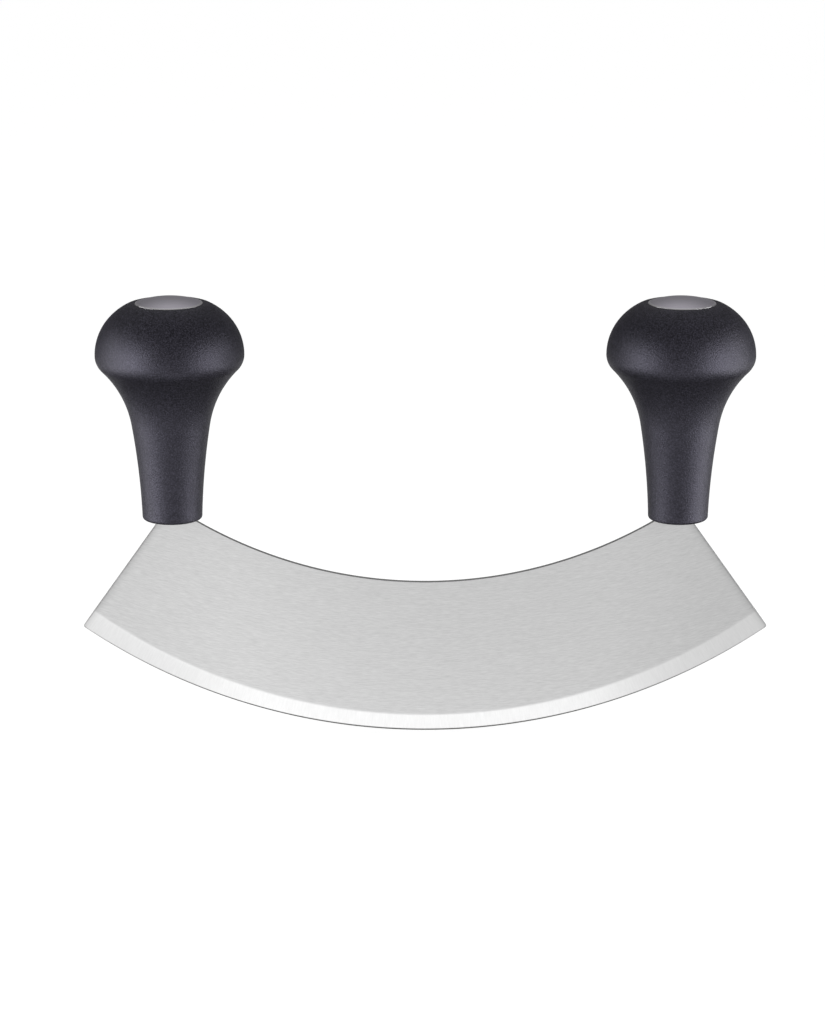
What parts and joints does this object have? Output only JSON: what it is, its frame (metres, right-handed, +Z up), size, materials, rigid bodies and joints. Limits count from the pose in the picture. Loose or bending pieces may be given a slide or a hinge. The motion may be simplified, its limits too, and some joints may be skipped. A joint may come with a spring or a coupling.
{
  "type": "mezzaluna",
  "caption": "Crescent rocking blade with a ground edge, held by two upright mushroom-shaped knob handles with domed metal caps.",
  "frame": {"origin": "the lowest point of the cutting edge, on the blade's middle plane and midway between the handles", "axes": "+X along the blade towards the right-hand handle, +Y from the front face to the back, +Z up from the edge to the handles"},
  "size_m": [0.23, 0.0494, 0.1496],
  "materials": {
    "blade_steel": "satin stainless sheet, brushed along its length, with a brighter ground edge",
    "handle_plastic": "anthracite moulded plastic with a fine matt grain",
    "cap_steel": "satin domed sheet metal",
    "fastener_steel": "plain bright steel, hidden inside the handles"
  },
  "bodies": {
    "root": {"blade": "blade_steel", "left_stud": "fastener_steel", "left_handle": "handle_plastic", "left_washer": "fastener_steel", "left_nut": "fastener_steel", "left_end_cap": "cap_steel", "right_stud": "fastener_steel", "right_handle": "handle_plastic", "right_washer": "fastener_steel", "right_nut": "fastener_steel", "right_end_cap": "cap_steel"}
  },
  "joints": []
}
